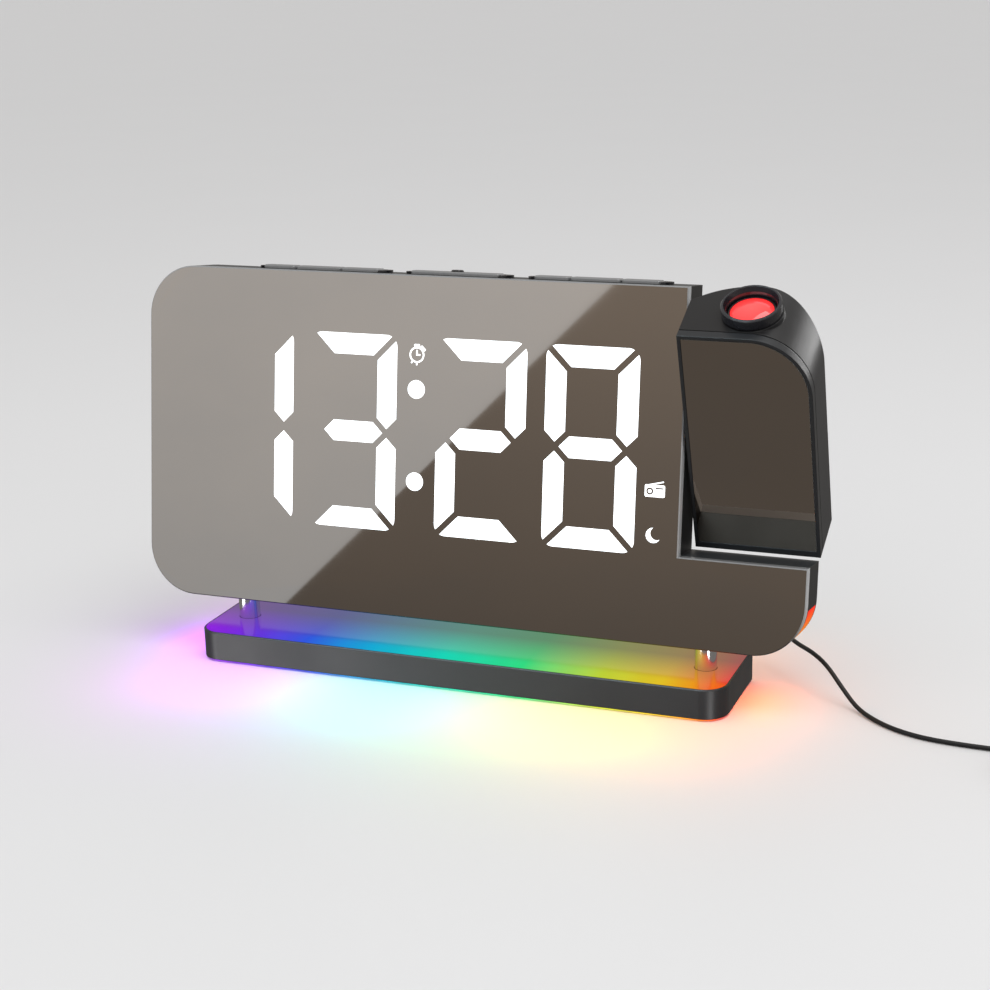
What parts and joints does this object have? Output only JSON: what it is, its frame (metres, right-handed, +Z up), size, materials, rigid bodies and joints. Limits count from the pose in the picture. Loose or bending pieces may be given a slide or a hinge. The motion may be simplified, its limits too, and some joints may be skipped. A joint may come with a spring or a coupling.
{
  "type": "projection alarm clock",
  "caption": "Mirror-faced projection alarm clock: L-shaped display on two posts over a lit slab base, tilting projector arm, top keys",
  "frame": {"origin": "middle of the base's underside, on the table", "axes": "+X to the right as the clock is read, -Y to the front, +Z up"},
  "size_m": [0.2652, 0.0622, 0.1098],
  "materials": {
    "smoky_mirror": "two-way smoky mirror, high gloss, polished edges",
    "satin_black": "satin moulded ABS",
    "gloss_black": "high gloss",
    "silver_key": "satin silver lacquer",
    "milky": "light diffusing, satin",
    "chrome": "polished",
    "steel": "plain zinc plated",
    "board": "solder mask over glass fibre board",
    "brass": "plain",
    "rubber": "matt",
    "red_glass": "lit from behind",
    "clear_glass": "clear, polished",
    "wire_skin": "smooth PVC skin"
  },
  "bodies": {
    "clock": {"mirror_panel": "smoky_mirror", "front_frame": "satin_black", "rear_cover": "satin_black", "battery_door": "satin_black", "base_shell": "satin_black", "base_plate": "satin_black", "display_mask": "gloss_black", "key_surrounds": "gloss_black", "base_top_plate": "gloss_black", "dc_inlet": "gloss_black", "cell_holder": "gloss_black", "speaker_cone": "gloss_black", "lit_segments": "milky", "unlit_segments": "milky", "indicator_lights": "milky", "display_leds": "milky", "housing_light_strip": "milky", "base_light_guide": "milky", "axle_bush": "milky", "display_board": "board", "main_board": "board", "key_board": "board", "housing_led_strip": "board", "base_led_strips": "board", "board_spacers": "brass", "stand_posts": "chrome", "post_screws": "steel", "rear_cover_screws": "steel", "base_screws": "steel", "base_weight": "steel", "speaker_frame": "steel", "usb_outlet": "steel", "coin_cell": "steel", "base_grip_pad": "rubber", "aerial_grommet": "rubber", "aerial_wire": "wire_skin", "aerial_coil": "wire_skin", "aerial_tip": "wire_skin"},
    "projector_arm": {"arm_shell": "satin_black", "arm_bezel": "satin_black", "arm_mirror": "smoky_mirror", "lens_holder": "gloss_black", "light_cradle": "gloss_black", "time_film": "clear_glass", "condenser_lens": "clear_glass", "projector_light": "board", "arm_axle": "steel", "axle_washer": "steel", "axle_ring": "steel"},
    "focus_ring_body": {"focus_ring": "gloss_black"},
    "lens_cell": {"lens_barrel": "gloss_black", "projector_lens": "red_glass"},
    "key_left_1_cap": {"key_left_1": "silver_key"},
    "key_left_2_cap": {"key_left_2": "silver_key"},
    "key_left_3_cap": {"key_left_3": "silver_key"},
    "key_snooze_cap": {"key_snooze": "silver_key", "snooze_dot": "gloss_black"},
    "key_right_1_cap": {"key_right_1": "silver_key"},
    "key_right_2_cap": {"key_right_2": "silver_key"},
    "key_right_3_cap": {"key_right_3": "silver_key"}
  },
  "joints": [
    {"name": "arm_swing", "type": "hinge", "parent": "clock", "child": "projector_arm", "pos_m": [0.057, 0.00876, 0.0697], "axis": [1, 0, 0], "range_deg": [-115.4, 64.6]},
    {"name": "focus_turn", "type": "hinge", "parent": "projector_arm", "child": "focus_ring_body", "pos_m": [0.0788, -0.00025, 0.10387], "axis": [0, -0.4462, 0.8949], "range_deg": [-110, 110]},
    {"name": "lens_slide", "type": "slide", "parent": "projector_arm", "child": "lens_cell", "axis": [0, -0.4462, 0.8949], "range_m": [-0.0008, 0.0008]},
    {"name": "key_left_1_press", "type": "slide", "parent": "clock", "child": "key_left_1_cap", "axis": [0, -0.1392, -0.9903], "range_m": [0, 0.0005], "stiffness_N_per_m": 1500},
    {"name": "key_left_2_press", "type": "slide", "parent": "clock", "child": "key_left_2_cap", "axis": [0, -0.1392, -0.9903], "range_m": [0, 0.0005], "stiffness_N_per_m": 1500},
    {"name": "key_left_3_press", "type": "slide", "parent": "clock", "child": "key_left_3_cap", "axis": [0, -0.1392, -0.9903], "range_m": [0, 0.0005], "stiffness_N_per_m": 1500},
    {"name": "key_snooze_press", "type": "slide", "parent": "clock", "child": "key_snooze_cap", "axis": [0, -0.1392, -0.9903], "range_m": [0, 0.0005], "stiffness_N_per_m": 1500},
    {"name": "key_right_1_press", "type": "slide", "parent": "clock", "child": "key_right_1_cap", "axis": [0, -0.1392, -0.9903], "range_m": [0, 0.0005], "stiffness_N_per_m": 1500},
    {"name": "key_right_2_press", "type": "slide", "parent": "clock", "child": "key_right_2_cap", "axis": [0, -0.1392, -0.9903], "range_m": [0, 0.0005], "stiffness_N_per_m": 1500},
    {"name": "key_right_3_press", "type": "slide", "parent": "clock", "child": "key_right_3_cap", "axis": [0, -0.1392, -0.9903], "range_m": [0, 0.0005], "stiffness_N_per_m": 1500}
  ],
  "couplings": [
    {"joint": "lens_slide", "follows": "focus_turn", "m_per_rad": 0.0004}
  ]
}
